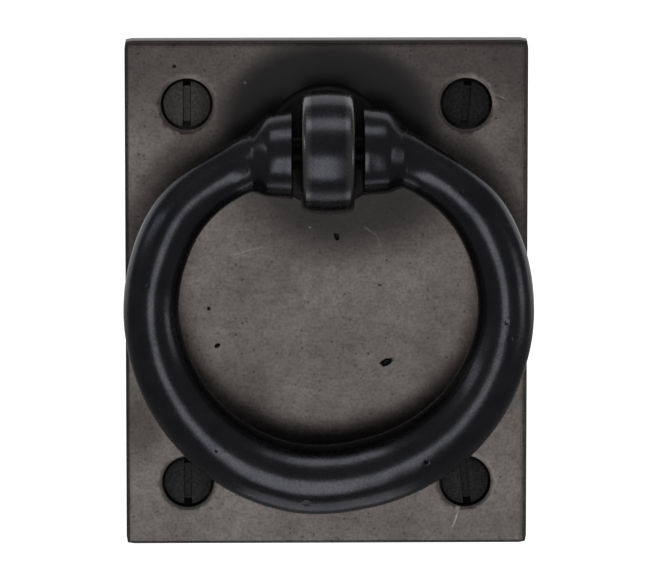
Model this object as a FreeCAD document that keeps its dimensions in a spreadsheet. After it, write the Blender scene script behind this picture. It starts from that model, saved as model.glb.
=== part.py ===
import FreeCAD, Part
import os
import Sketcher
from FreeCAD import Vector

# Ring pull handle: a flat plate, a riveted eye lug and a ring that swings on a pin through the eye.
# Millimetres, +Z up, front towards -Y, origin at the middle of the plate's back face.

doc = FreeCAD.newDocument("ring_pull_handle")
dims = doc.addObject("Spreadsheet::Sheet", "dims")

sizes = {
    # back plate
    "plate_width": 60.0,
    "plate_height": 76.0,
    "plate_thickness": 4.0,
    "plate_corner_radius": 0.8,
    "plate_edge_bevel": 0.6,
    # screws and their holes
    "screw_inset_side": 9.25,
    "screw_inset_end": 9.5,
    "screw_hole_dia": 4.0,
    "countersink_mouth_dia": 8.2,
    "screw_head_dia": 7.0,
    "screw_head_land": 0.25,
    "screw_shank_dia": 2.7,
    "screw_thread_dia": 3.5,
    "screw_length": 19.0,
    "screw_point_length": 4.5,
    "screw_tip_dia": 0.5,
    "screw_seat_clearance": 0.03,
    "thread_start_gap": 0.3,
    "slot_width": 1.2,
    "slot_depth": 1.0,
    "slot_turn_top_left": 0.0,
    "slot_turn_top_right": 4.0,
    "slot_turn_bottom_left": 0.0,
    "slot_turn_bottom_right": -6.0,
    # eye lug
    "pivot_below_top": 15.6,
    "pivot_standoff": 9.4,
    "lug_base_dia": 18.2,
    "lug_base_height": 2.4,
    "lug_base_round": 0.9,
    "eye_dia": 18.0,
    "eye_width": 7.8,
    "eye_crown": 0.35,
    "eye_edge_round": 0.7,
    "eye_root_round": 0.8,
    "tenon_dia": 8.0,
    "tenon_clearance": 0.05,
    "rivet_dia": 10.4,
    "rivet_recess": 0.1,
    # ring
    "ring_outer_dia": 61.4,
    "ring_wire_dia": 8.0,
    "ring_bottom_dia": 10.5,
    "ring_neck_dia": 7.4,
    "pivot_inset": 3.3,
    "arm_bend_tighter": 6.4,
    "arm_end_drop": 0.15,
    "arm_overlap": 1.2,
    "flare_length": 6.0,
    "collar_dia": 13.2,
    "collar_shoulder": 0.5,
    "collar_length": 4.0,
    "collar_gap": 1.4,
    "collar_rim_round": 0.7,
    "collar_face_round": 0.4,
    # pivot pin
    "pin_dia": 5.0,
    "pin_running_clearance": 0.06,
    "pin_seat_clearance": 0.02,
    "pin_socket_depth": 3.5,
    "pin_end_gap": 0.3,
    "pin_end_bevel": 0.4,
}
for row, (name, value) in enumerate(sizes.items(), 1):
    dims.set(f"A{row}", name)
    dims.set(f"B{row}", str(value))
    dims.setAlias(f"B{row}", name)
doc.recompute()

# places and fits that several pieces share
screw_across = "(dims.plate_width / 2 - dims.screw_inset_side)"
screw_up = "(dims.plate_height / 2 - dims.screw_inset_end)"
pivot_height = "(dims.plate_height / 2 - dims.pivot_below_top)"
pin_bore = "(dims.pin_dia + 2 * dims.pin_running_clearance)"
pin_socket = "(dims.pin_dia + 2 * dims.pin_seat_clearance)"
tenon_hole = "(dims.tenon_dia + 2 * dims.tenon_clearance)"
collar_face = "(dims.eye_width / 2 + dims.collar_gap)"
collar_back = "(dims.eye_width / 2 + dims.collar_gap + dims.collar_length)"
head_sink = (
    "((dims.countersink_mouth_dia - dims.screw_head_dia) / 2"
    " - dims.screw_head_land - dims.screw_seat_clearance)"
)
pivot = {"y": "-dims.plate_thickness - dims.pivot_standoff", "z": pivot_height}


def value_of(expression):
    return dims.evalExpression(expression.replace("dims.", ""))


def new_body(name, place=None):
    body = doc.addObject("PartDesign::Body", name)
    for axis, expression in (place or {}).items():
        body.setExpression(f"Placement.Base.{axis}", expression)
    return body


def origin_feature(body, role):
    return next(item for item in body.Origin.OriginFeatures if item.Role == role)


def new_sketch(body, name, plane):
    sketch = body.newObject("Sketcher::SketchObject", name)
    sketch.AttachmentSupport = [(origin_feature(body, plane), "")]
    sketch.MapMode = "FlatFace"
    return sketch


def fix(sketch, kind, *where):
    sketch.addConstraint(Sketcher.Constraint(kind, *where))


def drive(sketch, kind, *where, by):
    index = sketch.addConstraint(Sketcher.Constraint(kind, *where, value_of(by)))
    sketch.setExpression(f"Constraints[{index}]", by)


def add_circle(sketch, x, y, diameter):
    index = sketch.addGeometry(Part.Circle(Vector(x, y, 0), Vector(0, 0, 1), value_of(diameter) / 2))
    drive(sketch, "Diameter", index, by=diameter)
    return index


# a closed outline through corners that are given as sheet expressions
def draw_profile(sketch, corners):
    points = [Vector(value_of(x), value_of(y), 0) for x, y in corners]
    count = len(points)
    lines = []
    for i in range(count):
        lines.append(sketch.addGeometry(Part.LineSegment(points[i], points[(i + 1) % count])))
    for i in range(count):
        fix(sketch, "Coincident", lines[i], 2, lines[(i + 1) % count], 1)
    for line, (x, y) in zip(lines, corners):
        if x == "0":
            fix(sketch, "PointOnObject", line, 1, -2)
        else:
            drive(sketch, "DistanceX", -1, 1, line, 1, by=x)
        if y == "0":
            fix(sketch, "PointOnObject", line, 1, -1)
        else:
            drive(sketch, "DistanceY", -1, 1, line, 1, by=y)


def revolve(body, name, sketch, axis):
    feature = body.newObject("PartDesign::Revolution", name)
    feature.Profile = sketch
    feature.ReferenceAxis = (sketch, [axis])
    feature.Angle = 360
    doc.recompute()
    return feature


def round_edges(body, name, base, wanted, radius, kind="Fillet"):
    chosen = [f"Edge{i}" for i, edge in enumerate(base.Shape.Edges, 1) if wanted(edge)]
    feature = body.newObject(f"PartDesign::{kind}", name)
    feature.Base = (base, chosen)
    feature.setExpression("Radius" if kind == "Fillet" else "Size", radius)
    doc.recompute()
    return feature


def near(a, b):
    return abs(a - b) < 1e-4


# Back plate: rectangle with a bevelled front edge, four countersunk holes and the rivet hole
plate = new_body("back_plate")
outline = new_sketch(plate, "plate_outline", "XZ_Plane")
half_width = "dims.plate_width / 2"
half_height = "dims.plate_height / 2"
draw_profile(
    outline,
    [
        (f"-{half_width}", f"-{half_height}"),
        (half_width, f"-{half_height}"),
        (half_width, half_height),
        (f"-{half_width}", half_height),
    ],
)
plate_block = plate.newObject("PartDesign::Pad", "plate_block")
plate_block.Profile = outline
plate_block.setExpression("Length", "dims.plate_thickness")
doc.recompute()

plate_corners = round_edges(
    plate,
    "plate_corners",
    plate_block,
    lambda edge: near(edge.BoundBox.YLength, value_of("dims.plate_thickness")),
    "dims.plate_corner_radius",
)
plate_bevel = round_edges(
    plate,
    "plate_bevel",
    plate_corners,
    lambda edge: near(edge.BoundBox.YMax, -value_of("dims.plate_thickness")),
    "dims.plate_edge_bevel",
    kind="Chamfer",
)

screw_places = new_sketch(plate, "screw_places", "XZ_Plane")
screw_places.setExpression("AttachmentOffset.Base.z", "dims.plate_thickness")
for side in ("-", ""):
    for level in ("-", ""):
        across = f"{side}{screw_across}"
        upward = f"{level}{screw_up}"
        circle = add_circle(screw_places, value_of(across), value_of(upward), "dims.screw_hole_dia")
        drive(screw_places, "DistanceX", -1, 1, circle, 3, by=across)
        drive(screw_places, "DistanceY", -1, 1, circle, 3, by=upward)
doc.recompute()
screw_holes = plate.newObject("PartDesign::Hole", "screw_holes")
screw_holes.Profile = screw_places
doc.recompute()
screw_holes.DepthType = "ThroughAll"
screw_holes.HoleCutType = "Countersink"
screw_holes.HoleCutCountersinkAngle = 90
screw_holes.setExpression("Diameter", "dims.screw_hole_dia")
screw_holes.setExpression("HoleCutDiameter", "dims.countersink_mouth_dia")
doc.recompute()

rivet_place = new_sketch(plate, "rivet_place", "XZ_Plane")
rivet_circle = add_circle(rivet_place, 0, value_of(pivot_height), tenon_hole)
fix(rivet_place, "PointOnObject", rivet_circle, 3, -2)
drive(rivet_place, "DistanceY", -1, 1, rivet_circle, 3, by=pivot_height)
doc.recompute()
rivet_hole = plate.newObject("PartDesign::Hole", "rivet_hole")
rivet_hole.Profile = rivet_place
rivet_hole.Reversed = True
doc.recompute()
rivet_hole.DepthType = "ThroughAll"
rivet_hole.HoleCutType = "Countersink"
rivet_hole.HoleCutCountersinkAngle = 90
rivet_hole.setExpression("Diameter", tenon_hole)
rivet_hole.setExpression("HoleCutDiameter", "dims.rivet_dia + 2 * dims.tenon_clearance")
doc.recompute()

# Eye lug: round base with a tenon peened over behind the plate, and a crowned eye across it.
# Its own origin is the point where the pivot axis crosses the middle of the eye.
lug = new_body("ring_lug", pivot)
eye_turning = new_sketch(lug, "eye_turning", "XY_Plane")
eye_side = "dims.eye_width / 2"
eye_shoulder = "(dims.eye_dia / 2 - dims.eye_crown)"
left_foot = Vector(-value_of(eye_side), 0, 0)
right_foot = Vector(value_of(eye_side), 0, 0)
left_top = Vector(-value_of(eye_side), value_of(eye_shoulder), 0)
right_top = Vector(value_of(eye_side), value_of(eye_shoulder), 0)
crown_top = Vector(0, value_of("dims.eye_dia / 2"), 0)
foot_line = eye_turning.addGeometry(Part.LineSegment(left_foot, right_foot))
right_line = eye_turning.addGeometry(Part.LineSegment(right_foot, right_top))
crown_arc = eye_turning.addGeometry(Part.Arc(right_top, crown_top, left_top))
left_line = eye_turning.addGeometry(Part.LineSegment(left_top, left_foot))
fix(eye_turning, "Coincident", foot_line, 2, right_line, 1)
fix(eye_turning, "Coincident", right_line, 2, crown_arc, 1)
fix(eye_turning, "Coincident", crown_arc, 2, left_line, 1)
fix(eye_turning, "Coincident", left_line, 2, foot_line, 1)
fix(eye_turning, "PointOnObject", foot_line, 1, -1)
fix(eye_turning, "Vertical", right_line)
fix(eye_turning, "Vertical", left_line)
fix(eye_turning, "Symmetric", foot_line, 1, foot_line, 2, -1, 1)
drive(eye_turning, "DistanceX", foot_line, 1, foot_line, 2, by="dims.eye_width")
drive(eye_turning, "DistanceY", right_line, 1, right_line, 2, by=eye_shoulder)
drive(eye_turning, "DistanceY", left_line, 2, left_line, 1, by=eye_shoulder)
crown_radius = "(dims.eye_width ^ 2 / 4 + dims.eye_crown ^ 2) / (2 * dims.eye_crown)"
drive(eye_turning, "Radius", crown_arc, by=crown_radius)
lug_eye = revolve(lug, "lug_eye", eye_turning, "H_Axis")
eye_edges = round_edges(
    lug,
    "eye_edges",
    lug_eye,
    lambda edge: near(edge.BoundBox.XLength, 0),
    "dims.eye_edge_round",
)

base_turning = new_sketch(lug, "base_turning", "XY_Plane")
base_front = "dims.pivot_standoff - dims.lug_base_height"
rivet_back = "dims.pivot_standoff + dims.plate_thickness - dims.rivet_recess"
rivet_spread = "((dims.rivet_dia - dims.tenon_dia) / 2 - dims.rivet_recess)"
draw_profile(
    base_turning,
    [
        ("0", base_front),
        ("dims.lug_base_dia / 2", base_front),
        ("dims.lug_base_dia / 2", "dims.pivot_standoff"),
        ("dims.tenon_dia / 2", "dims.pivot_standoff"),
        ("dims.tenon_dia / 2", f"{rivet_back} - {rivet_spread}"),
        (f"dims.tenon_dia / 2 + {rivet_spread}", rivet_back),
        ("0", rivet_back),
    ],
)
lug_base = revolve(lug, "lug_base", base_turning, "V_Axis")
lug_rim = round_edges(
    lug,
    "lug_rim",
    lug_base,
    lambda edge: near(edge.BoundBox.YMin, value_of(base_front))
    and near(edge.BoundBox.YLength, 0)
    and near(edge.BoundBox.XMax, value_of("dims.lug_base_dia / 2")),
    "dims.lug_base_round",
)
eye_root = round_edges(
    lug,
    "eye_root",
    lug_rim,
    lambda edge: near(edge.BoundBox.YMin, value_of(base_front))
    and near(edge.BoundBox.YLength, 0)
    and edge.BoundBox.XMax < value_of("dims.lug_base_dia / 2 - dims.lug_base_round") - 0.1,
    "dims.eye_root_round",
)
bore_place = new_sketch(lug, "bore_place", "YZ_Plane")
bore_circle = add_circle(bore_place, 0, 0, pin_bore)
fix(bore_place, "Coincident", bore_circle, 3, -1, 1)
pivot_bore = lug.newObject("PartDesign::Pocket", "pivot_bore")
pivot_bore.Profile = bore_place
pivot_bore.SideType = "Symmetric"
pivot_bore.setExpression("Length", "2 * dims.eye_width")
doc.recompute()

# Ring: half a hoop that swells to its bottom and an arm that flares into a collar, mirrored into one casting
ring = new_body("pull_ring", pivot)
collar_turning = new_sketch(ring, "collar_turning", "XZ_Plane")
draw_profile(
    collar_turning,
    [
        (collar_face, "0"),
        (collar_back, "0"),
        (collar_back, "dims.collar_dia / 2"),
        (collar_face, "dims.collar_dia / 2"),
    ],
)
collar = revolve(ring, "collar", collar_turning, "H_Axis")
collar_rim = round_edges(
    ring,
    "collar_rim",
    collar,
    lambda edge: near(edge.BoundBox.XLength, 0)
    and near(edge.BoundBox.XMin, value_of(collar_back))
    and near(edge.BoundBox.ZMax, value_of("dims.collar_dia / 2")),
    "dims.collar_rim_round",
)
collar_edge = round_edges(
    ring,
    "collar_edge",
    collar_rim,
    lambda edge: near(edge.BoundBox.XLength, 0)
    and near(edge.BoundBox.XMin, value_of(collar_face))
    and near(edge.BoundBox.ZMax, value_of("dims.collar_dia / 2")),
    "dims.collar_face_round",
)

ring_path = new_sketch(ring, "ring_path", "XZ_Plane")
wire_line_radius = "((dims.ring_outer_dia - dims.ring_wire_dia) / 2)"
ring_drop = f"({wire_line_radius} - dims.pivot_inset)"
bend_radius = f"({wire_line_radius} - dims.arm_bend_tighter)"
neck_place = f"({collar_back} + dims.flare_length)"
arm_end = f"({collar_back} - dims.arm_overlap)"
hoop_centre = Vector(0, -value_of(ring_drop), 0)
bend_centre = hoop_centre + Vector(5, 3, 0)


def path_arc(centre, radius, first, last):
    return ring_path.addGeometry(
        Part.ArcOfCircle(Part.Circle(centre, Vector(0, 0, 1), value_of(radius)), first, last)
    )


swell_arc = path_arc(hoop_centre, wire_line_radius, -1.5708, 0)
hoop_arc = path_arc(hoop_centre, wire_line_radius, 0, 0.57)
arm_arc = path_arc(bend_centre, bend_radius, 0.57, 1.1)
flare_arc = path_arc(bend_centre, bend_radius, 1.1, 1.4)
fix(ring_path, "Coincident", hoop_arc, 3, swell_arc, 3)
fix(ring_path, "Coincident", hoop_arc, 1, swell_arc, 2)
fix(ring_path, "Tangent", hoop_arc, 2, arm_arc, 1)
fix(ring_path, "Coincident", flare_arc, 3, arm_arc, 3)
fix(ring_path, "Coincident", flare_arc, 1, arm_arc, 2)
fix(ring_path, "PointOnObject", swell_arc, 3, -2)
fix(ring_path, "PointOnObject", swell_arc, 1, -2)
fix(ring_path, "Horizontal", swell_arc, 3, swell_arc, 2)
drive(ring_path, "DistanceY", swell_arc, 3, -1, 1, by=ring_drop)
drive(ring_path, "Radius", swell_arc, by=wire_line_radius)
drive(ring_path, "Radius", arm_arc, by=bend_radius)
drive(ring_path, "DistanceX", -1, 1, arm_arc, 2, by=neck_place)
drive(ring_path, "DistanceX", -1, 1, flare_arc, 2, by=arm_end)
drive(ring_path, "DistanceY", flare_arc, 2, -1, 1, by="dims.arm_end_drop")
doc.recompute()


def wire_section(name, edge, along, diameter, inward=None):
    section = ring.newObject("Sketcher::SketchObject", name)
    section.AttachmentSupport = [(ring_path, edge)]
    section.MapMode = "FrenetNB"
    section.MapPathParameter = along
    circle = add_circle(section, -value_of(inward or "0"), 0, diameter)
    if inward:
        fix(section, "PointOnObject", circle, 3, -1)
        drive(section, "DistanceX", circle, 3, -1, 1, by=inward)
    else:
        fix(section, "Coincident", circle, 3, -1, 1)
    return section


def part_way(from_dia, to_dia, share):
    return f"({from_dia} + ({share}) * ({to_dia} - {from_dia}))"


def sweep(name, edge, sections):
    pipe = ring.newObject("PartDesign::AdditivePipe", name)
    pipe.Profile = sections[0]
    pipe.Spine = (ring_path, [edge])
    if len(sections) > 1:
        pipe.Sections = sections[1:]
        pipe.Transformation = "Multisection"
    doc.recompute()
    return pipe


# The shares of a change in thickness at the ends and thirds of an arc, so that it levels off at both ends.
easing = [(0.0, "0"), (1 / 3, "7 / 27"), (2 / 3, "20 / 27"), (1.0, "1")]
wire_dia = "dims.ring_wire_dia"
neck_dia = "dims.ring_neck_dia"
flare_dia = "(dims.collar_dia - 2 * dims.collar_shoulder)"

# The lower half of the hoop swells inwards to its bottom and keeps its round outside.
swell_sections = []
for number, (along, share) in enumerate(easing[:-1]):
    section_dia = part_way("dims.ring_bottom_dia", wire_dia, share)
    inward = f"({section_dia} - {wire_dia}) / 2"
    swell_sections.append(wire_section(f"swell_{number}", "Edge1", along, section_dia, inward))
swell_sections.append(wire_section("swell_end", "Edge1", 1.0, wire_dia))
hoop_section = wire_section("hoop_section", "Edge2", 0.0, wire_dia)
arm_sections = [
    wire_section(f"arm_{number}", "Edge3", along, part_way(wire_dia, neck_dia, share))
    for number, (along, share) in enumerate(easing)
]
# The flare opens like a trumpet, with the square of the way along it.
flare_sections = [
    wire_section(f"flare_{number}", "Edge4", along, part_way(neck_dia, flare_dia, share))
    for number, (along, share) in enumerate([(0.0, "0"), (0.5, "1 / 4"), (1.0, "1")])
]
doc.recompute()
lower_hoop = sweep("lower_hoop", "Edge1", swell_sections)
upper_hoop = sweep("upper_hoop", "Edge2", [hoop_section])
tapered_arm = sweep("tapered_arm", "Edge3", arm_sections)
trumpet = sweep("trumpet", "Edge4", flare_sections)

socket_place = new_sketch(ring, "socket_place", "YZ_Plane")
socket_circle = add_circle(socket_place, 0, 0, pin_socket)
fix(socket_place, "Coincident", socket_circle, 3, -1, 1)
pin_socket_cut = ring.newObject("PartDesign::Pocket", "pin_socket_cut")
pin_socket_cut.Profile = socket_place
pin_socket_cut.Reversed = True
pin_socket_cut.setExpression("Length", f"{collar_face} + dims.pin_socket_depth")
doc.recompute()
other_half = ring.newObject("PartDesign::Mirrored", "other_half")
other_half.TransformMode = "Whole shape"
other_half.MirrorPlane = (origin_feature(ring, "YZ_Plane"), [""])
ring.Tip = other_half
doc.recompute()

# Pivot pin: plain steel pin through the eye, its ends held in the collars
pin = new_body("pivot_pin", pivot)
pin_turning = new_sketch(pin, "pin_turning", "YZ_Plane")
fix(pin_turning, "Coincident", add_circle(pin_turning, 0, 0, "dims.pin_dia"), 3, -1, 1)
pin_bar = pin.newObject("PartDesign::Pad", "pin_bar")
pin_bar.Profile = pin_turning
pin_bar.SideType = "Symmetric"
pin_bar.setExpression("Length", f"2 * ({collar_face} + dims.pin_socket_depth - dims.pin_end_gap)")
doc.recompute()
pin_ends = round_edges(
    pin,
    "pin_ends",
    pin_bar,
    lambda edge: near(edge.BoundBox.XLength, 0),
    "dims.pin_end_bevel",
    kind="Chamfer",
)

# Plate screws: one slotted countersunk wood screw, its head at its own origin, set in four places
screw = new_body("plate_screw")
screw_turning = new_sketch(screw, "screw_turning", "XY_Plane")
cone_end = "dims.screw_head_land + (dims.screw_head_dia - dims.screw_shank_dia) / 2"
thread_start = f"dims.plate_thickness - {head_sink} + dims.thread_start_gap"
draw_profile(
    screw_turning,
    [
        ("0", "0"),
        ("dims.screw_head_dia / 2", "0"),
        ("dims.screw_head_dia / 2", "dims.screw_head_land"),
        ("dims.screw_shank_dia / 2", cone_end),
        ("dims.screw_shank_dia / 2", thread_start),
        ("dims.screw_thread_dia / 2", thread_start),
        ("dims.screw_thread_dia / 2", "dims.screw_length - dims.screw_point_length"),
        ("dims.screw_tip_dia / 2", "dims.screw_length"),
        ("0", "dims.screw_length"),
    ],
)
screw_blank = revolve(screw, "screw_blank", screw_turning, "V_Axis")
slot_outline = new_sketch(screw, "slot_outline", "XZ_Plane")
draw_profile(
    slot_outline,
    [
        ("-dims.slot_width / 2", "-dims.screw_head_dia"),
        ("dims.slot_width / 2", "-dims.screw_head_dia"),
        ("dims.slot_width / 2", "dims.screw_head_dia"),
        ("-dims.slot_width / 2", "dims.screw_head_dia"),
    ],
)
screw_slot = screw.newObject("PartDesign::Pocket", "screw_slot")
screw_slot.Profile = slot_outline
screw_slot.setExpression("Length", "dims.slot_depth")
doc.recompute()

screw_corners = {
    "top_left": ("-", ""),
    "top_right": ("", ""),
    "bottom_left": ("-", "-"),
    "bottom_right": ("", "-"),
}
placed_screws = []
for corner, (side, level) in screw_corners.items():
    placed = doc.addObject("App::Link", f"screw_{corner}")
    placed.LinkedObject = screw
    placed.LinkPlacement = FreeCAD.Placement(Vector(), FreeCAD.Rotation(Vector(0, 1, 0), 1))
    placed.setExpression("LinkPlacement.Base.x", f"{side}{screw_across}")
    placed.setExpression("LinkPlacement.Base.y", f"-dims.plate_thickness + {head_sink}")
    placed.setExpression("LinkPlacement.Base.z", f"{level}{screw_up}")
    placed.setExpression("LinkPlacement.Rotation.Angle", f"dims.slot_turn_{corner}")
    placed_screws.append(placed)
screws = doc.addObject("Part::Compound", "plate_screws")
screws.Links = placed_screws
doc.recompute()

for item in doc.Objects:
    if "Invalid" in item.State or "Error" in item.State:
        raise RuntimeError(f"{item.Label} did not rebuild: {item.State}")

os.makedirs("parts", exist_ok=True)
for piece in (plate, lug, ring, pin, screws):
    if piece.Shape.isNull() or not piece.Shape.isValid():
        raise RuntimeError(f"{piece.Label} is not a sound solid")
    piece.Shape.exportStep(f"parts/{piece.Label}.step")
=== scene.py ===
from math import acos, atan2, cos, pi, radians, sin, tan

import bmesh
import bpy
from mathutils import Matrix, Vector, noise
from mathutils.geometry import intersect_sphere_sphere_2d


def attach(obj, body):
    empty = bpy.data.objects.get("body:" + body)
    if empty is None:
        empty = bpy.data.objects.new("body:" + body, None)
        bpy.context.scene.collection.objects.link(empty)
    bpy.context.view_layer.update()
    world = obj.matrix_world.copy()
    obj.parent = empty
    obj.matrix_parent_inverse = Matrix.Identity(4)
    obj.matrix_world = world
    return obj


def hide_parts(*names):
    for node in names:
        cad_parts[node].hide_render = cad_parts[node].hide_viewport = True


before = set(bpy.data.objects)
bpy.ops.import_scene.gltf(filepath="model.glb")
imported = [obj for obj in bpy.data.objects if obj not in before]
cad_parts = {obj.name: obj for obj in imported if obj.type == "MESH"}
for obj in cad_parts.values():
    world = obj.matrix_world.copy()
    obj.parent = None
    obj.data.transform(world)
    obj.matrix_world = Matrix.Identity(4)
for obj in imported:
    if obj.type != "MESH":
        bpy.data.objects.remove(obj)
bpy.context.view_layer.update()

# Pieces are drawn in millimetres in the part's own frame and brought to metres when they are finished.
metresPerMm = 0.001
perMm = 1 / metresPerMm  # scale of a pattern whose blotches are a millimetre across
weldGap = 0.001  # points nearer than this are one point
onLevel = 0.01  # points within this of a level lie on it
crispAngle = radians(40)
roundSteps = (0.25, 0.5, 0.75, 1.0)  # a rounded corner in four shares of a quarter turn

# The patina attribute runs from -1, worn bright, through 0, rubbed, and 1, dull oxide, to 2, black. Besides
# patina it carries painted light: painted shade on the plate and a painted highlight along the eye's side
# edges.


def linearColour(hexText):
    channels = [int(hexText[i:i + 2], 16) / 255 for i in (1, 3, 5)]
    return (*[c / 12.92 if c <= 0.04045 else ((c + 0.055) / 1.055) ** 2.4 for c in channels], 1.0)


def fillSockets(tree, node, inputs):
    for socket, value in inputs.items():
        if isinstance(value, bpy.types.NodeSocket):
            tree.links.new(value, node.inputs[socket])
        else:
            node.inputs[socket].default_value = value


def addNode(tree, kind, settings=None, inputs=None):
    node = tree.nodes.new(kind)
    for name, value in (settings or {}).items():
        setattr(node, name, value)
    fillSockets(tree, node, inputs or {})
    return node


def newMaterial(name):
    material = bpy.data.materials.new(name)
    material.use_nodes = True
    return material, material.node_tree.nodes["Principled BSDF"]


def finishPiece(bm, name, node, body, material):
    bmesh.ops.remove_doubles(bm, verts=bm.verts, dist=weldGap)
    bmesh.ops.recalc_face_normals(bm, faces=bm.faces)
    for e in bm.edges:  # corners stay crisp, everything else shades round
        e.smooth = e.calc_face_angle(0) < crispAngle
    bmesh.ops.scale(bm, vec=(metresPerMm,) * 3, verts=bm.verts)
    mesh = bpy.data.meshes.new(name)
    bm.to_mesh(mesh)
    bm.free()
    mesh.materials.append(material)
    mesh.shade_smooth()
    piece = bpy.data.objects.new(name, mesh)
    bpy.context.scene.collection.objects.link(piece)
    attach(piece, body)
    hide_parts(node)
    print(name, len(mesh.polygons), "faces")
    return piece


def everything(bm):
    return bm.verts[:] + bm.edges[:] + bm.faces[:]


def edgesOf(faces):
    return list({e for f in faces for e in f.edges})


def extrudeLoop(bm, loop, matrix):
    old = {v for edge in loop for v in edge.verts}
    made = bmesh.ops.extrude_edge_only(bm, edges=loop)["geom"]
    edges = [e for e in made if isinstance(e, bmesh.types.BMEdge) and not old & set(e.verts)]
    bmesh.ops.transform(bm, matrix=matrix, verts=list({v for e in edges for v in e.verts}))
    return edges


def scaleAbout(centre, x, y, z):
    return Matrix.Translation(centre) @ Matrix.Diagonal((x, y, z, 1)) @ Matrix.Translation(-centre)


def extrudeTurned(bm, loop, centre, radius, steps):
    # carries a round loop on through radii and levels, as a turned profile would
    level = centre.y
    for newRadius, newLevel in steps:
        grow = newRadius / radius
        matrix = scaleAbout(Vector((centre.x, level, centre.z)), grow, 1, grow)
        loop = extrudeLoop(bm, loop, Matrix.Translation((0, newLevel - level, 0)) @ matrix)
        radius, level = newRadius, newLevel
    return loop


def fade(value, full, none):
    share = min(1.0, max(0.0, (none - value) / (none - full)))
    return share * share * (3 - 2 * share)


def roughen(bm, verts, amount, grain, seed):
    # a hand-finished casting is never quite true: every point sinks a little, none rises
    bm.normal_update()
    shift = Vector((seed, 0, 0))
    depths = [(noise.noise(v.co / grain + shift) - 1) * amount / 2 for v in verts]
    for v, depth in zip(verts, depths):
        v.co += v.normal * depth


# Ring: one casting, a hoop that swells to its bottom and arms that flare into collars
ring = {
    "pivot": Vector((0, -13.4, 22.4)),
    "outerDia": 61.4,
    "wireDia": 8.0,
    "middleDia": 8.6,
    "bottomDia": 10.5,
    "swell": 1.3,  # how soon the hoop thins on the way up from its bottom
    "neckDia": 7.9,
    "flareDia": 12.2,
    "armInset": 0.4,
    "pivotInset": 3.3,
    "bendTighter": 6.4,
    "armEnd": 8.1,
    "armEndDrop": 0.15,
    "flareLength": 6.0,
    "collarFace": 5.1,
    "collarBack": 9.3,
    "collarDia": 13.2,
    "rimWidth": 1.1,
    "shoulder": 2.8,
    "shoulderStart": 11.4,
    "shoulderRise": 1.25,
    "faceRound": 0.35,
    "socketDia": 5.04,
    "socketDepth": 3.7,
    "socketChamfer": 0.2,
    "collarsAbove": 14.0,
    "filedZone": (8.4, 12.0),  # across, where a file ran over the corner between arm and collar
    "filePasses": 10,
    "leftNarrower": 0.013,  # the left half was filed a little slimmer than the right
    "narrowFrom": 10.0,
    "narrowFull": 25.0,
    "rightHigher": 0.25,  # the collars are not quite level
    "higherFull": 10.0,
    "higherNone": 24.0,
    "higherTurn": 5.0,
    "marks": [  # across, up, size, depth, black left in it
        (14.5, -23.1, 0.8, 0.20, 2.0),
        (27.0, -4.7, 1.2, 0.08, 0.0),
        (26.3, -2.4, 0.8, 0.06, 0.0),
        (-3.5, -29.5, 1.5, 0.07, 0.0),
        (-26.4, 3.5, 0.5, 0.08, 1.2),
        (-16.5, -21.5, 0.5, 0.08, 1.2),
        (19.8, 17.0, 0.9, 0.05, 0.0),
    ],
    "unevenness": [(0.12, 9, 3), (0.08, 4, 5), (0.03, 2, 8)],  # depth, grain, seed
    "lumpZone": (5.6, 11.5),
    "collarLumps": (0.2, 2.6, 12),
    "around": 64,
    "hoopSteps": 90,
    "armSteps": 22,
    "flareSteps": 24,
    "shoulderSteps": 12,
}


def onCircle(centre, radius, angle):
    return centre + radius * Vector((cos(angle), sin(angle)))


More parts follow.
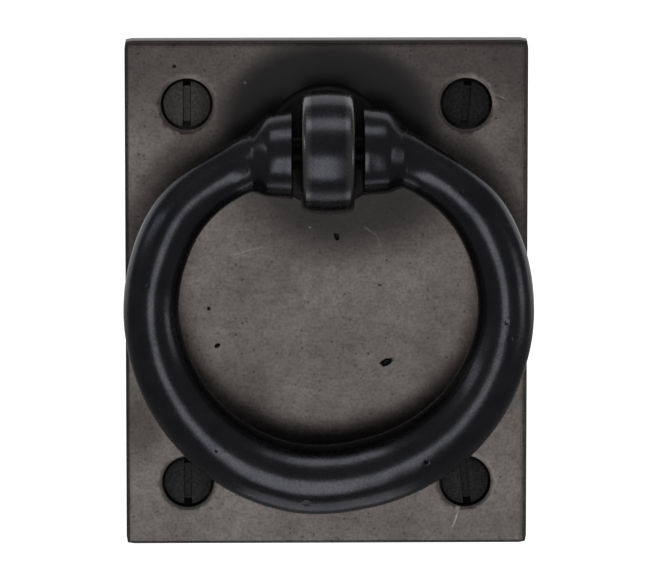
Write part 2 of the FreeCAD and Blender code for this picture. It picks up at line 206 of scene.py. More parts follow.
def ringSections():
    # centre, lean and radius of each round section, from the hoop's bottom up the right arm into the socket
    line = (ring["outerDia"] - ring["wireDia"]) / 2
    bend = line - ring["bendTighter"]
    pivotLevel = ring["pivot"].z
    hoopCentre = Vector((0, pivotLevel - line + ring["pivotInset"]))
    armTip = Vector((ring["armEnd"], pivotLevel - ring["armEndDrop"]))
    centres = intersect_sphere_sphere_2d(hoopCentre, line - bend, armTip, bend)
    bendCentre = max(centres, key=lambda point: point.x)
    rootAngle = atan2(bendCentre.y - hoopCentre.y, bendCentre.x)
    neckAngle = acos((ring["collarBack"] + ring["flareLength"] - bendCentre.x) / bend)
    tipAngle = atan2(armTip.y - bendCentre.y, armTip.x - bendCentre.x)
    bottom, middle = ring["bottomDia"] / 2, ring["middleDia"] / 2
    neck, flare = ring["neckDia"] / 2, ring["flareDia"] / 2
    outside = ring["outerDia"] / 2
    sections = []
    for i in range(ring["hoopSteps"] + 1):
        angle = -pi / 2 + (rootAngle + pi / 2) * i / ring["hoopSteps"]
        along = min(1.0, (angle + pi / 2) / (pi / 2))
        radius = middle + (bottom - middle) * (1 - along * along) ** ring["swell"]
        sections.append((onCircle(hoopCentre, outside - radius, angle), angle, radius))
    for i in range(1, ring["armSteps"] + 1):
        along = i / ring["armSteps"]
        angle = rootAngle + (neckAngle - rootAngle) * along
        radius = middle + (neck - middle) * along * along * (3 - 2 * along)
        inset = outside - line - middle - ring["armInset"] * sin(along * pi / 2) ** 2
        sections.append((onCircle(bendCentre, bend + inset, angle), angle, radius))
    for i in range(1, ring["flareSteps"] + 1):
        along = i / ring["flareSteps"]
        angle = neckAngle + (tipAngle - neckAngle) * along
        centre = onCircle(bendCentre, bend + inset * (1 - along), angle)
        if centre.x < ring["shoulderStart"]:
            break
        upright = angle + (pi / 2 - angle) * min(1.0, 2 * along * along)
        sections.append((centre, upright, neck + (flare - neck) * along * along))
    start, lean, root = sections[-1]
    rim = ring["collarDia"] / 2
    low = pivotLevel - start.y
    for i in range(1, ring["shoulderSteps"] + 1):  # soft shoulder from the arm up to the collar's rim
        along = i / ring["shoulderSteps"]
        rise = 1 - (1 - along) ** ring["shoulderRise"]
        centre = Vector((start.x - ring["shoulder"] * along, pivotLevel - low * (1 - rise)))
        sections.append((centre, lean + (pi / 2 - lean) * rise, root + (rim - root) * rise))
    edge, face = ring["faceRound"], ring["collarFace"]
    socket, chamfer = ring["socketDia"] / 2, ring["socketChamfer"]
    profile = [(face + ring["rimWidth"], rim)]
    for turn in (0, 0.33, 0.67, 1.0):
        profile.append((face + edge * (1 - sin(turn * pi / 2)), rim - edge * (1 - cos(turn * pi / 2))))
    profile += [(face, socket + chamfer), (face + chamfer, socket), (face + ring["socketDepth"], socket)]
    sections += [(Vector((x, pivotLevel)), pi / 2, radius) for x, radius in profile]
    return sections


def sectionMatrix(section):
    centre, angle, radius = section
    place = Matrix.Translation((centre.x, ring["pivot"].y, centre.y))
    return place @ Matrix.Rotation(-angle, 4, "Y") @ Matrix.Scale(radius, 4)


def collarVerts(bm, near, far):
    return [v for v in bm.verts if near < abs(v.co.x) < far and v.co.z > ring["collarsAbove"]]


def buildRing(material):
    bm = bmesh.new()
    patinaAndPaintedLight = bm.verts.layers.float.new("patinaAndPaintedLight")
    sections = ringSections()
    verts = bmesh.ops.create_circle(bm, segments=ring["around"], radius=1)["verts"]
    bmesh.ops.transform(bm, matrix=sectionMatrix(sections[0]), verts=verts)
    loop = bm.edges[:]
    for before, after in zip(sections, sections[1:]):
        loop = extrudeLoop(bm, loop, sectionMatrix(after) @ sectionMatrix(before).inverted())
    bmesh.ops.edgeloop_fill(bm, edges=loop)
    bmesh.ops.mirror(bm, geom=everything(bm), axis="X", merge_dist=weldGap)
    bmesh.ops.recalc_face_normals(bm, faces=bm.faces)
    filed = collarVerts(bm, *ring["filedZone"])
    allWays = {"use_axis_x": True, "use_axis_y": True, "use_axis_z": True}
    for i in range(ring["filePasses"]):
        bmesh.ops.smooth_vert(bm, verts=filed, factor=0.5, **allWays)
    narrowSpan = ring["narrowFull"] - ring["narrowFrom"]
    for v in bm.verts:
        if v.co.x < 0:
            slimmed = min(1.0, max(0.0, (-v.co.x - ring["narrowFrom"]) / narrowSpan))
            v.co.x *= 1 - ring["leftNarrower"] * slimmed
        tilt = min(1.0, max(-1.0, v.co.x / ring["higherTurn"]))
        v.co.z += ring["rightHigher"] * tilt * fade(abs(v.co.x), ring["higherFull"], ring["higherNone"])
    for across, up, size, depth, black in ring["marks"]:
        front = [v for v in bm.verts if v.normal.y < -0.2]
        struck = min(front, key=lambda v: Vector((v.co.x - across, v.co.z - up)).length).co.copy()
        near = [f for f in bm.faces if (f.calc_center_median() - struck).length < size]
        bmesh.ops.subdivide_edges(bm, edges=edgesOf(near), cuts=3, use_grid_fill=True)
        bm.normal_update()
        for v in bm.verts:
            away = (v.co - struck).length * 2 / size
            if away < 1:
                share = fade(away * (1 + 0.3 * noise.noise(v.co * 2)), 0.3, 1.0)  # a ragged rim
                v.co -= v.normal * depth * share
                v[patinaAndPaintedLight] = black * min(1.0, 1.5 * share)
    collars = collarVerts(bm, *ring["lumpZone"])
    for amount, grain, seed in ring["unevenness"]:
        roughen(bm, bm.verts, amount, grain, seed)
    roughen(bm, collars, *ring["collarLumps"])
    return finishPiece(bm, "ring_casting", "pull_ring", "ring", material)


# Eye lug: a crowned eye standing on a round base, with a tenon peened over behind the plate
lug = {
    "eyeRadius": 8.995,
    "eyeWidth": 7.8,
    "crown": 0.35,
    "crownPoints": (-0.6, -0.3, 0),
    "edgeRound": 0.7,
    "edgeLift": 0.1,
    "boreDia": 5.12,
    "boreChamfer": 0.2,
    "baseDia": 18.2,
    "baseTop": -6.4,
    "baseFoot": -4.0,
    "baseRound": 0.9,
    "baseRoundSteps": (0.2, 0.4, 0.6, 0.8, 1.0),
    "rootRound": 0.8,
    "tenonDia": 8.0,
    "rivetDia": 10.4,
    "rivetFace": -0.1,
    "darkerFull": 7.5,  # how far out from the wood the base is darker and duller in full, and where the darkening ends
    "darkerNone": 10.0,
    "edgeBrightFrom": 9.0,
    "edgeWearAndHighlight": -0.7,
    "steps": 120,
}


def buildLug(material):
    bm = bmesh.new()
    pivot = ring["pivot"]
    half, outside, bore = lug["eyeWidth"] / 2, lug["eyeRadius"], lug["boreDia"] / 2
    corner, chamfer = lug["edgeRound"], lug["boreChamfer"]
    shoulder = outside - lug["crown"]
    profile = [(-half, bore + chamfer), (-half, (bore + shoulder) / 2), (-half, shoulder - corner)]
    for turn in roundSteps:
        side, rise = 1 - cos(turn * pi / 2), 1 - sin(turn * pi / 2)
        profile.append((-half + corner * side, shoulder + lug["edgeLift"] * turn - corner * rise))
    profile += [(across * half, outside - lug["crown"] * across * across) for across in lug["crownPoints"]]
    profile += [(-x, r) for x, r in reversed(profile[:-1])]
    profile += [(half - chamfer, bore), (-half + chamfer, bore)]
    points = [bm.verts.new((x, pivot.y - r, pivot.z)) for x, r in profile]
    outline = [bm.edges.new(pair) for pair in zip(points, points[1:] + points[:1])]
    bmesh.ops.spin(
        bm,
        geom=points + outline,
        cent=pivot,
        axis=(1, 0, 0),
        angle=2 * pi,
        steps=lug["steps"],
        use_merge=True,
    )
    bmesh.ops.remove_doubles(bm, verts=bm.verts, dist=weldGap)
    cut = lug["baseTop"] - lug["rootRound"]
    bmesh.ops.bisect_plane(
        bm, geom=everything(bm), plane_co=(0, cut, 0), plane_no=(0, 1, 0), clear_outer=True
    )
    loop = [e for e in bm.edges if e.is_boundary]
    reach = max(v.co.z for e in loop for v in e.verts) - pivot.z
    centre = Vector((0, cut, pivot.z))
    grown = 0
    for turn in roundSteps:  # hollow corner where the eye meets its base
        out = lug["rootRound"] * (1 - cos(turn * pi / 2))
        matrix = scaleAbout(centre, (half + out) / (half + grown), 1, (reach + out) / (reach + grown))
        drop = cut + lug["rootRound"] * sin(turn * pi / 2)
        loop = extrudeLoop(bm, loop, Matrix.Translation((0, drop - loop[0].verts[0].co.y, 0)) @ matrix)
        grown = out
    rounding, top, foot = lug["baseRound"], lug["baseTop"], lug["baseFoot"]
    flat = lug["baseDia"] / 2 - rounding
    loop = extrudeLoop(bm, loop, Matrix())
    for v in {v for e in loop for v in e.verts}:
        spoke = Vector((v.co.x, 0, v.co.z - pivot.z)).normalized() * flat
        v.co = Vector((spoke.x, top, pivot.z + spoke.z))
    turned = []
    for turn in lug["baseRoundSteps"]:
        turned.append((flat + rounding * sin(turn * pi / 2), top + rounding * (1 - cos(turn * pi / 2))))
    tenon, rivet = lug["tenonDia"] / 2, lug["rivetDia"] / 2
    turned += [(flat + rounding, foot), (tenon, foot)]
    turned += [(tenon, lug["rivetFace"] - rivet + tenon), (rivet, lug["rivetFace"])]
    loop = extrudeTurned(bm, loop, Vector((0, top, pivot.z)), flat, turned)
    bmesh.ops.edgeloop_fill(bm, edges=loop)
    patinaAndPaintedLight = bm.verts.layers.float.new("patinaAndPaintedLight")
    for v in bm.verts:
        v[patinaAndPaintedLight] = fade(-v.co.y, lug["darkerFull"], lug["darkerNone"])
        fromPin = Vector((v.co.y - pivot.y, v.co.z - pivot.z)).length
        # the front of the eye's rounded side edges is coloured light: worn bright metal and a painted
        # highlight
        onEdge = fromPin > shoulder - corner and abs(v.co.x) > half - corner
        if onEdge and v.co.y < -lug["edgeBrightFrom"]:
            v[patinaAndPaintedLight] = lug["edgeWearAndHighlight"]
    return finishPiece(bm, "eye_lug_casting", "ring_lug", "plate", material)


# Back plate: flat casting with four countersunk screw holes and a hole for the lug's tenon
plate = {
    "width": 60.0,
    "height": 76.0,
    "thickness": 4.0,
    "edgeRound": 0.6,
    "cell": 0.6,
    "screwAcross": 20.75,
    "screwUp": 28.5,
    "holeDia": 4.0,
    "holeSides": 48,
    "mouthDia": 7.8,
    "mouthStep": 0.08,
    "mouthStepDepth": 0.06,
    "rimWidth": 0.1,
    "tenonHoleDia": 8.1,
    "rivetMouthDia": 10.5,
    "cornerShare": 0.7,  # how far a corner moves each way as its sides move out
    "patinaAndPaintedLight": {"back": 0.25, "countersinkShade": 2.0, "holeRim": -0.25, "edge": 0.8},
    "edgePatinaAndShadeFrom": 0.05,
    "armPatinaAndShade": 0.55,  # a band along the ring's arms: unrubbed patina and painted shade
    "armPatinaAndShadeMiddle": -1.0,
    "armPatinaAndShadeOut": 0.5,
    "armPatinaAndShadeReach": (0.6, 3.6),  # full and none, here and below
    "armPatinaAndShadeUp": (6, -8),
    # the plate grows darker towards its top edge, and along its right edge beside the ring
    "topDarkening": 0.55,
    "topDarkeningSlope": 0.003,  # a little more towards the right
    "topDarkeningUp": (34, 20),
    "rightDarkening": 0.35,
    "rightDarkeningAcross": (30, 20),
    "rightDarkeningUp": (20, 2),
    "patinaAndPaintedLightZones": [  # across, up, reach across, reach up, share of the reach that is full, and none, amount
        (0.3, 26, 19, 14, 0.7, 1.15, 1.0),  # round the lug: unrubbed patina and painted shade
        (3, 16, 21, 13, 0.45, 1.1, 0.85),  # inside the ring, below the lug: unrubbed patina and painted shade
        (-28, -20, 5, 9, 0.3, 1.0, 0.5),  # low on the left edge: painted shade of the ring
        (-13, -15, 9, 9, 0.2, 1.0, 0.3),  # inside the ring, low on the left: painted shade of the ring
    ],
    "marks": [  # across, up, width, height, turn in degrees, depth, black left in it
        (8.9, -10.4, 1.7, 1.0, 25, 0.22, 2.0),
        (1.5, 8.6, 0.6, 1.1, 20, 0.12, 1.8),
        (-16.3, -7.8, 0.8, 0.5, 30, 0.10, 1.8),
        (-17.6, -2.2, 0.4, 0.5, 0, 0.08, 1.6),
        (-22.6, 34.2, 0.5, 0.4, 0, 0.08, 1.4),
        (8.0, 1.3, 0.7, 0.3, 10, 0.05, 0.5),
        (-12.1, 31.7, 0.35, 0.35, 0, 0.05, -1.0),
        (-2.5, 9.9, 0.4, 0.35, 0, 0.05, -1.0),
        (26.0, 29.4, 2.0, 0.22, -25, 0.03, -0.6),
        (19.3, -34.4, 0.25, 2.0, -20, 0.03, -0.7),
        (6.4, 9.4, 2.6, 0.25, -35, 0.02, -0.35),
        (7.6, 8.2, 0.25, 2.4, 20, 0.02, -0.3),
        (-11.5, 6.5, 5.0, 0.25, 15, 0.02, -0.25),
    ],
}


def patinaAndPaintedLightAt(x, z):
    # the rubbing cloth never reached close round the lug and along the ring's arms, and painted shade of the
    # lug and ring lies over the same places; painted shade of the ring also darkens the plate low on the
    # left, inside and outside the ring, and the plate grows darker towards its top edge and along its right
    # edge
    shares = []
    for across, up, wide, high, full, none, amount in plate["patinaAndPaintedLightZones"]:
        shares.append(amount * fade(Vector(((x - across) / wide, (z - up) / high)).length, full, none))
    fromMiddle = Vector((x, z - plate["armPatinaAndShadeMiddle"])).length
    fromArm = abs(fromMiddle - ring["outerDia"] / 2 - plate["armPatinaAndShadeOut"])
    armBand = fade(fromArm, *plate["armPatinaAndShadeReach"]) * fade(z, *plate["armPatinaAndShadeUp"])
    shares.append(plate["armPatinaAndShade"] * armBand)
    shares.append((plate["topDarkening"] + plate["topDarkeningSlope"] * x) * fade(z, *plate["topDarkeningUp"]))
    rightEdge = fade(x, *plate["rightDarkeningAcross"]) * fade(z, *plate["rightDarkeningUp"])
    shares.append(plate["rightDarkening"] * rightEdge)
    return max(shares)


def buildPlate(material):
    bm = bmesh.new()
    inset, depth, sides = plate["edgeRound"], plate["thickness"], plate["holeSides"]
    wide, high = plate["width"] - 2 * inset, plate["height"] - 2 * inset
    upright = Matrix.Rotation(pi / 2, 4, "X")
    bmesh.ops.create_grid(
        bm,
        x_segments=round(wide / plate["cell"]),
        y_segments=round(high / plate["cell"]),
        size=0.5,
        matrix=Matrix.Translation((0, -depth, 0)) @ upright @ Matrix.Diagonal((wide, high, 1, 1)),
    )
    edge = [e for e in bm.edges if e.is_boundary]
    holes = [
        (Vector((x * plate["screwAcross"], -depth, z * plate["screwUp"])), plate["mouthDia"] / 2)
        for x in (-1, 1)
        for z in (-1, 1)
    ]
    tenonSpot = Vector((0, -depth, ring["pivot"].z))
    holes.append((tenonSpot, plate["tenonHoleDia"] / 2))
    bores = []
    for centre, radius in holes:
        kept = set(e for e in bm.edges if e.is_boundary)
        near = [v for v in bm.verts if (v.co - centre).length < radius + plate["cell"]]
        bmesh.ops.delete(bm, geom=near, context="VERTS")
        rim = [e for e in bm.edges if e.is_boundary and e not in kept]
        matrix = Matrix.Translation(centre) @ upright
        circle = bmesh.ops.create_circle(bm, segments=sides, radius=radius, matrix=matrix)["verts"]
        circleEdges = list({e for v in circle for e in v.link_edges})
        bmesh.ops.triangle_fill(bm, use_beauty=True, edges=rim + circleEdges)
        bores.append((centre, radius, circleEdges))
    backLoops = []
    for centre, radius, loop in bores:
        if centre is tenonSpot:
            mouth = plate["rivetMouthDia"] / 2
            steps = [(radius, radius - mouth), (mouth, 0)]
        else:
            bore = plate["holeDia"] / 2
            steps = [(radius - plate["mouthStep"], -depth + plate["mouthStepDepth"])]
            steps += [(bore, -depth + radius - bore), (bore, 0)]
        backLoops += extrudeTurned(bm, loop, centre, radius, steps)
    edgeSteps = []
    for turn in roundSteps:
        edgeSteps.append((inset * sin(turn * pi / 2), inset * (1 - cos(turn * pi / 2)) - depth))
    grown, level = 0, -depth
    for out, newLevel in edgeSteps + [(inset, 0)]:
        edge = extrudeLoop(bm, edge, Matrix.Translation((0, newLevel - level, 0)))
        for v in {v for e in edge for v in e.verts}:  # each side moves straight out, a corner both ways
            spoke = Vector((0, 0, 0))
            if abs(v.co.x) > wide / 2 - onLevel + grown * plate["cornerShare"]:
                spoke.x = v.co.x / abs(v.co.x)
            if abs(v.co.z) > high / 2 - onLevel + grown * plate["cornerShare"]:
                spoke.z = v.co.z / abs(v.co.z)
            v.co += spoke.normalized() * (out - grown)
        grown, level = out, newLevel
    bmesh.ops.triangle_fill(bm, use_beauty=True, edges=edge + backLoops)
    patinaAndPaintedLight = bm.verts.layers.float.new("patinaAndPaintedLight")
    grain = bm.loops.layers.uv.new("grain")
    mouth = plate["mouthDia"] / 2
    for v in bm.verts:
        v[patinaAndPaintedLight] = patinaAndPaintedLightAt(v.co.x, v.co.z)
        toScrew = Vector((abs(v.co.x) - plate["screwAcross"], abs(v.co.z) - plate["screwUp"])).length
        if v.co.y > -onLevel:
            v[patinaAndPaintedLight] = plate["patinaAndPaintedLight"]["back"]
        # painted shade: the countersink, a narrow gap round each screw head, is coloured black
        elif v.co.y > -depth + onLevel and toScrew < mouth:
            v[patinaAndPaintedLight] = plate["patinaAndPaintedLight"]["countersinkShade"]
        elif toScrew < mouth + plate["rimWidth"]:
            v[patinaAndPaintedLight] = plate["patinaAndPaintedLight"]["holeRim"]
        # the rounded outer edge and the tenon hole's walls are darker: unrubbed patina and painted shade
        elif v.co.y > -depth + plate["edgePatinaAndShadeFrom"]:
            v[patinaAndPaintedLight] = plate["patinaAndPaintedLight"]["edge"]
    for across, up, markWide, markHigh, turn, sink, black in plate["marks"]:
        centre = Vector((across, -depth, up))
        span = max(markWide, markHigh) / 2 + plate["cell"]
        front = [f for f in bm.faces if f.normal.y < -0.9]
        near = [f for f in front if (f.calc_center_median() - centre).length < span]
        bmesh.ops.subdivide_edges(bm, edges=edgesOf(near), cuts=4, use_grid_fill=True)
        turned = Matrix.Rotation(radians(turn), 3, "Y")
        for v in bm.verts:
            offset = turned @ (v.co - centre)
            if offset.length > span or abs(offset.y) > onLevel:
                continue
            edgeWander = 1 + 0.35 * noise.noise(v.co * 2.5)
            away = Vector((offset.x / markWide, offset.z / markHigh)).length * 2 * edgeWander
            if away < 1.25:
                v.co.y += sink * fade(away, 0.5, 1.0)
                v[patinaAndPaintedLight] += (black - v[patinaAndPaintedLight] if black > 0 else black) * fade(away, 0.8, 1.25)
    for f in bm.faces:
        for corner in f.loops:
            corner[grain].uv = (corner.vert.co.x, corner.vert.co.z)
    return finishPiece(bm, "plate_casting", "back_plate", "plate", material)


# Plate screws: four slotted countersunk wood screws, each turned to where it came tight
screw = {
    "headDia": 7.0,
    "headMiddleDia": 0.6,
    "headRim": 0.15,
    "headRimDrop": 0.1,
    "headLand": 0.25,
    "headLevel": -3.68,
    "shankDia": 2.7,
    "shankStep": 0.3,
    "coreDia": 2.5,
    "threadDia": 3.5,
    "threadRoot": 0.1,  # how far the thread's foot is sunk in the core
    "threadCrest": (0.25, 0.35),  # shares of the pitch where the crest begins and ends
    "threadFoot": 0.55,
    "threadSides": 24,
    "length": 19.0,
    "pointLength": 4.5,
    "pointSlack": 0.2,  # the turned point already lies deeper than this below the core
    "tipDia": 0.5,
    "threadStart": 4.0,
    "pitch": 1.4,
    "sides": 48,
    "slotWidth": 1.2,
    "slotDepth": 0.9,
    "slotShadeWidth": 0.2,
    "slotShade": -0.7,
    "bareness": {(-1, 1): 0.8, (1, 1): 0.0, (-1, -1): 0.1, (1, -1): 0.05},  # how much black has worn off
    "slotTurn": {(-1, 1): 0.0, (1, 1): 4.0, (-1, -1): 0.0, (1, -1): -6.0},
}


def cutSlot(bm, wearAndShade):
    sides, depth = screw["slotWidth"] / 2, screw["slotDepth"]
    planes = [((0, 0, sides), (0, 0, 1)), ((0, 0, -sides), (0, 0, 1)), ((0, depth, 0), (0, 1, 0))]
    for plane, normal in planes:
        near = [f for f in bm.faces if min(v.co.y for v in f.verts) < depth]
        near += edgesOf(near) + list({v for f in near for v in f.verts})
        bmesh.ops.bisect_plane(bm, geom=near, plane_co=plane, plane_no=normal)
    inSlot = []
    for f in bm.faces:
        middle = f.calc_center_median()
        if abs(middle.z) < sides and middle.y < depth - weldGap:
            inSlot.append(f)
    bmesh.ops.delete(bm, geom=inSlot, context="FACES")
    openEdges = [e for e in bm.edges if e.is_boundary]
    foot = {v for e in openEdges for v in e.verts if abs(v.co.y - depth) < weldGap}
    for side in (-sides, sides):
        ends = [v for v in foot if abs(v.co.z - side) < weldGap]
        low, high = min(ends, key=lambda v: v.co.x), max(ends, key=lambda v: v.co.x)
        bottom = bm.edges.new((low, high))
        wall = [e for e in openEdges if all(abs(v.co.z - side) < weldGap for v in e.verts)]
        bmesh.ops.contextual_create(bm, geom=wall + [bottom])
    bmesh.ops.holes_fill(bm, edges=[e for e in bm.edges if e.is_boundary], sides=0)
    floor = [f for f in bm.faces if all(abs(v.co.y - depth) < weldGap for v in f.verts)]
    bmesh.ops.inset_region(bm, faces=floor, thickness=screw["slotShadeWidth"], use_boundary=True)
    inner = {v for f in floor for v in f.verts}
    for v in bm.verts:
        if abs(v.co.y - depth) < weldGap and abs(v.co.z) < sides + weldGap and v not in inner:
            v[wearAndShade] = screw["slotShade"]  # painted shade lies along the slot's foot


def windThread(bm):
    core, ridge, tip = screw["coreDia"] / 2, screw["threadDia"] / 2, screw["tipDia"] / 2
    start, length, pitch = screw["threadStart"], screw["length"], screw["pitch"]
    turns = (length - start - pitch) / pitch
    steps = round(screw["threadSides"] * turns)
    foot = core - screw["threadRoot"]
    crestStart, crestEnd = screw["threadCrest"]
    profile = [(foot, 0), (ridge, crestStart), (ridge, crestEnd), (foot, screw["threadFoot"])]
    points = [bm.verts.new((radius, start + share * pitch, 0)) for radius, share in profile]
    bar = [bm.edges.new(pair) for pair in zip(points, points[1:] + points[:1])]
    made = bmesh.ops.spin(
        bm,
        geom=points + bar,
        cent=(0, 0, 0),
        axis=(0, 1, 0),
        dvec=(0, pitch * turns / steps, 0),
        angle=2 * pi * turns,
        steps=steps,
    )["geom_last"]
    bmesh.ops.contextual_create(bm, geom=bar)
    bmesh.ops.contextual_create(bm, geom=[e for e in made if isinstance(e, bmesh.types.BMEdge)])
    pointStart = length - screw["pointLength"]
    for v in bm.verts:  # the thread tapers with the point
        radius = Vector((v.co.x, v.co.z)).length
        if v.co.y > pointStart and radius > core - screw["pointSlack"]:
            shrink = 1 - (1 - tip / core) * (v.co.y - pointStart) / screw["pointLength"]
            v.co.x *= shrink
            v.co.z *= shrink


def buildScrews(material):
    bm = bmesh.new()
    wearAndShade = bm.verts.layers.float.new("wearAndShade")
    head, shank = screw["headDia"] / 2, screw["shankDia"] / 2
    core, tip = screw["coreDia"] / 2, screw["tipDia"] / 2
    land, start = screw["headLand"], screw["threadStart"]
    turning = [(screw["headMiddleDia"] / 2, 0), (head - screw["headRim"], 0), (head, screw["headRimDrop"])]
    turning += [(head, land), (shank, land + head - shank), (shank, start)]
    turning.append((core, start + screw["shankStep"]))
    turning += [(core, screw["length"] - screw["pointLength"]), (tip, screw["length"])]
    points = [bm.verts.new((radius, along, 0)) for radius, along in turning]
    outline = [bm.edges.new(pair) for pair in zip(points, points[1:])]
    bmesh.ops.spin(
        bm,
        geom=points + outline,
        cent=(0, 0, 0),
        axis=(0, 1, 0),
        angle=2 * pi,
        steps=screw["sides"],
        use_merge=True,
    )
    bmesh.ops.remove_doubles(bm, verts=bm.verts, dist=weldGap)
    bmesh.ops.holes_fill(bm, edges=[e for e in bm.edges if e.is_boundary], sides=0)
    cutSlot(bm, wearAndShade)
    windThread(bm)
    first = everything(bm)
    for (x, z), turn in screw["slotTurn"].items():
        copied = bmesh.ops.duplicate(bm, geom=first)["geom"]
        verts = [v for v in copied if isinstance(v, bmesh.types.BMVert)]
        for v in verts:
            if v[wearAndShade] >= 0:
                v[wearAndShade] = screw["bareness"][(x, z)]
        matrix = Matrix.Translation((x * plate["screwAcross"], screw["headLevel"], z * plate["screwUp"]))
        matrix = matrix @ Matrix.Rotation(radians(turn), 4, "Y") @ Matrix.Rotation(pi / 2, 4, "Y")
        bmesh.ops.transform(bm, matrix=matrix, verts=verts)
    bmesh.ops.delete(bm, geom=[v for v in first if isinstance(v, bmesh.types.BMVert)], context="VERTS")
    return finishPiece(bm, "slotted_screws", "plate_screws", "plate", material)


# Materials
def layColours(tree, colour, layers):
    # each layer covers the ones before it: pattern, its low and high, cover at low and at high, colour
    for pattern, low, high, atLow, atHigh, over in layers:
        shown = {0: pattern, 1: low, 2: high, 3: atLow, 4: atHigh}
        cover = addNode(tree, "ShaderNodeMapRange", None, shown).outputs[0]
        sockets = {0: cover, 6: colour, 7: linearColour(over)}
        colour = addNode(tree, "ShaderNodeMix", {"data_type": "RGBA"}, sockets).outputs[2]
    return colour


def darkBronze():
    # cast bronze under a waxed blue-black patina: soft broken highlights with a fine sand-cast grain
    material, shader = newMaterial("dark_waxed_bronze")
    tree = material.node_tree
    coords = addNode(tree, "ShaderNodeTexCoord").outputs["Object"]
    patinaAndPaintedLight = addNode(tree, "ShaderNodeAttribute", {"attribute_name": "patinaAndPaintedLight"}).outputs["Fac"]
    cloud, grain = (
        addNode(tree, "ShaderNodeTexNoise", None, {"Vector": coords, "Scale": scale, "Detail": 3}).outputs[0]
        for scale in (perMm / 5.0, perMm / 0.4)
    )
    layers = [
        (cloud, 0.3, 0.7, 0, 1, "#5a5a5e"),
        # light worn metal, also the painted highlight along the eye's side edges
        (patinaAndPaintedLight, -1, 0, 1, 0, "#9a9a9c"),
        (patinaAndPaintedLight, 0, 1, 0, 1, "#2a2827"),
        (patinaAndPaintedLight, 1, 2, 0, 1, "#050505"),
    ]
    colour = layColours(tree, linearColour("#4c4d53"), layers)
    metal = addNode(tree, "ShaderNodeMapRange", None, {0: patinaAndPaintedLight, 1: 0, 2: 1, 3: 1, 4: 0.65}).outputs[0]
    spread = {0: grain, 1: 0.35, 2: 0.7, 3: 0.21, 4: 0.31}
    sheen = addNode(tree, "ShaderNodeMapRange", None, spread).outputs[0]
    dull = addNode(tree, "ShaderNodeMapRange", None, {0: patinaAndPaintedLight, 1: 0, 2: 1, 3: 0, 4: 0.25}).outputs[0]
    rough = addNode(tree, "ShaderNodeMath", {"operation": "ADD"}, {0: dull, 1: sheen}).outputs[0]
    relief = {"Height": grain, "Strength": 0.08, "Distance": 0.04 * metresPerMm}
    bump = addNode(tree, "ShaderNodeBump", None, relief).outputs[0]
    fillSockets(tree, shader, {"Base Color": colour, "Metallic": metal, "Roughness": rough, "Normal": bump})
    return material


def plateBronze():
    # cast bronze rubbed back to a satin grey-brown, with faint rubbing marks, black left in the hollows and
    # painted shade round the lug, the ring's arms, the screw heads and the edges
    material, shader = newMaterial("rubbed_plate_bronze")
    tree = material.node_tree
    coords = addNode(tree, "ShaderNodeTexCoord").outputs["Object"]
    patinaAndPaintedLight = addNode(tree, "ShaderNodeAttribute", {"attribute_name": "patinaAndPaintedLight"}).outputs["Fac"]
    patterns = []
    for size, detail in ((9.0, 4), (1.2, 4), (0.45, 5)):
        blotches = {"Vector": coords, "Scale": perMm / size, "Detail": detail}
        patterns.append(addNode(tree, "ShaderNodeTexNoise", None, blotches).outputs[0])
    cloud, mottle, grain = patterns
    strokes = {"Vector": coords, "Scale": (perMm / 1.8, perMm / 0.3, perMm / 0.3)}  # 1.8 mm long, 0.3 mm wide
    along = addNode(tree, "ShaderNodeMapping", None, strokes).outputs[0]
    brushed = {"Vector": along, "Scale": 1.0, "Detail": 3.0}
    brushing = addNode(tree, "ShaderNodeTexNoise", None, brushed).outputs[0]
    # pinholes 0.9 mm apart, some of them faint
    cells = addNode(tree, "ShaderNodeTexVoronoi", None, {"Vector": coords, "Scale": perMm / 0.9}).outputs
    nearness = {0: cells["Distance"], 1: 0.1, 2: 0.26, 3: 1, 4: 0}
    dot = addNode(tree, "ShaderNodeMapRange", None, nearness).outputs[0]
    chance = addNode(tree, "ShaderNodeSeparateXYZ", None, {0: cells["Color"]}).outputs["X"]
    chosen = addNode(tree, "ShaderNodeMapRange", None, {0: chance, 1: 0.5, 2: 1.0, 3: 0, 4: 0.7}).outputs[0]
    pinholes = addNode(tree, "ShaderNodeMath", {"operation": "MULTIPLY"}, {0: dot, 1: chosen}).outputs[0]
    layers = [
        (cloud, 0.3, 0.7, 0, 1, "#958e8a"),
        (mottle, 0.3, 0.6, 0.3, 0, "#4a4644"),
        (grain, 0.3, 0.6, 0.4, 0, "#3f3b39"),
        (brushing, 0.45, 0.75, 0, 0.25, "#968f8b"),
        (pinholes, 0, 1, 0, 1, "#1f1d1c"),
        (patinaAndPaintedLight, -1, 0, 1, 0, "#cfcac6"),
        # the attribute's dark layers: patina in the hollows and painted shade
        (patinaAndPaintedLight, 0, 1, 0, 1, "#272525"),
        (patinaAndPaintedLight, 1, 2, 0, 1, "#070707"),
    ]
    colour = layColours(tree, linearColour("#7a7472"), layers)
    metal = addNode(tree, "ShaderNodeMapRange", None, {0: patinaAndPaintedLight, 1: 0, 2: 1, 3: 1, 4: 0.65}).outputs[0]
    height = addNode(tree, "ShaderNodeMath", {"operation": "SUBTRACT"}, {0: grain, 1: pinholes}).outputs[0]
    relief = {"Height": height, "Strength": 0.2, "Distance": 0.05 * metresPerMm}
    bump = addNode(tree, "ShaderNodeBump", None, relief).outputs[0]
    tangent = addNode(tree, "ShaderNodeTangent", {"direction_type": "UV_MAP", "uv_map": "grain"}).outputs[0]
    fillSockets(tree, shader, {"Base Color": colour, "Metallic": metal, "Roughness": 0.34, "Normal": bump})
    fillSockets(tree, shader, {"Anisotropic": 0.5, "Tangent": tangent})
    return material


